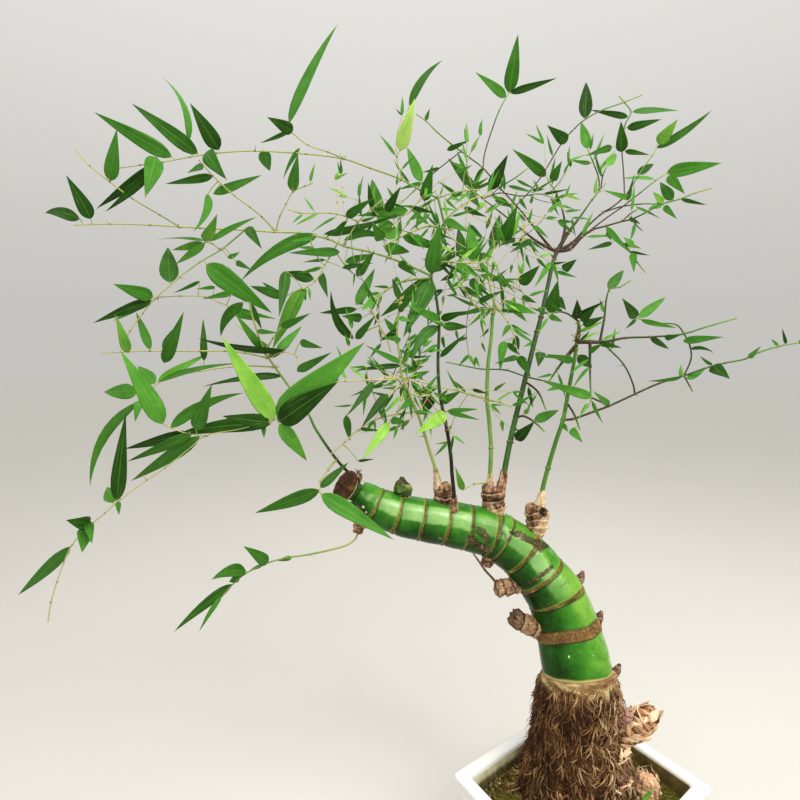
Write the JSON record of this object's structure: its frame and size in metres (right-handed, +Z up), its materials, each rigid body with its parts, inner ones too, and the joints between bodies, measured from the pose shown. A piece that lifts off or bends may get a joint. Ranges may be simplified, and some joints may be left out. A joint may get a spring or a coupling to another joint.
{
  "type": "potted bamboo",
  "caption": "Old ringed bamboo stem that leans over from a clump of roots in a rectangular glazed pot, with thin leafy stems rising from its stubs.",
  "frame": {"origin": "centre of the pot's flat foot, on the surface it stands on", "axes": "+Z up; -Y toward the viewer, from where the old stem leans to the left, toward -X; the pot's long side is turned 34.5 degrees from +X toward +Y"},
  "size_m": [0.849, 0.3354, 0.9486],
  "materials": {
    "glaze": "glossy white glaze",
    "soil": "damp crumbly soil",
    "roots": "matted dry roots",
    "green_stem": "glossy green rind",
    "dark_wood": "weathered cut",
    "stub": "dry ringed sheath",
    "green_bud": "matt bud scales",
    "bud": "matt bud scales",
    "root_bud": "papery scales",
    "cut_wood": "rough cut",
    "green_shoot": "satin",
    "leaf": "satin leaf"
  },
  "bodies": {
    "root": {"pot": "glaze", "soil": "soil", "root_mass": "roots", "trunk": "green_stem", "cut_end": "dark_wood", "stub_left": "stub", "stub_middle": "stub", "stub_right": "stub", "stub_lower": "stub", "stub_front": "stub", "stub_under": "stub", "stub_low": "stub", "bud_green": "green_bud", "bud_upper": "bud", "bud_middle": "bud", "bud_lower": "bud", "bud_root": "root_bud", "cut_shoot": "cut_wood", "green_shoot": "green_shoot", "stem_cut_end": "leaf", "stem_dark": "leaf", "stem_thin": "leaf", "stem_pale": "leaf", "stem_thick": "leaf", "stem_right": "leaf", "stem_low": "leaf"}
  },
  "joints": []
}
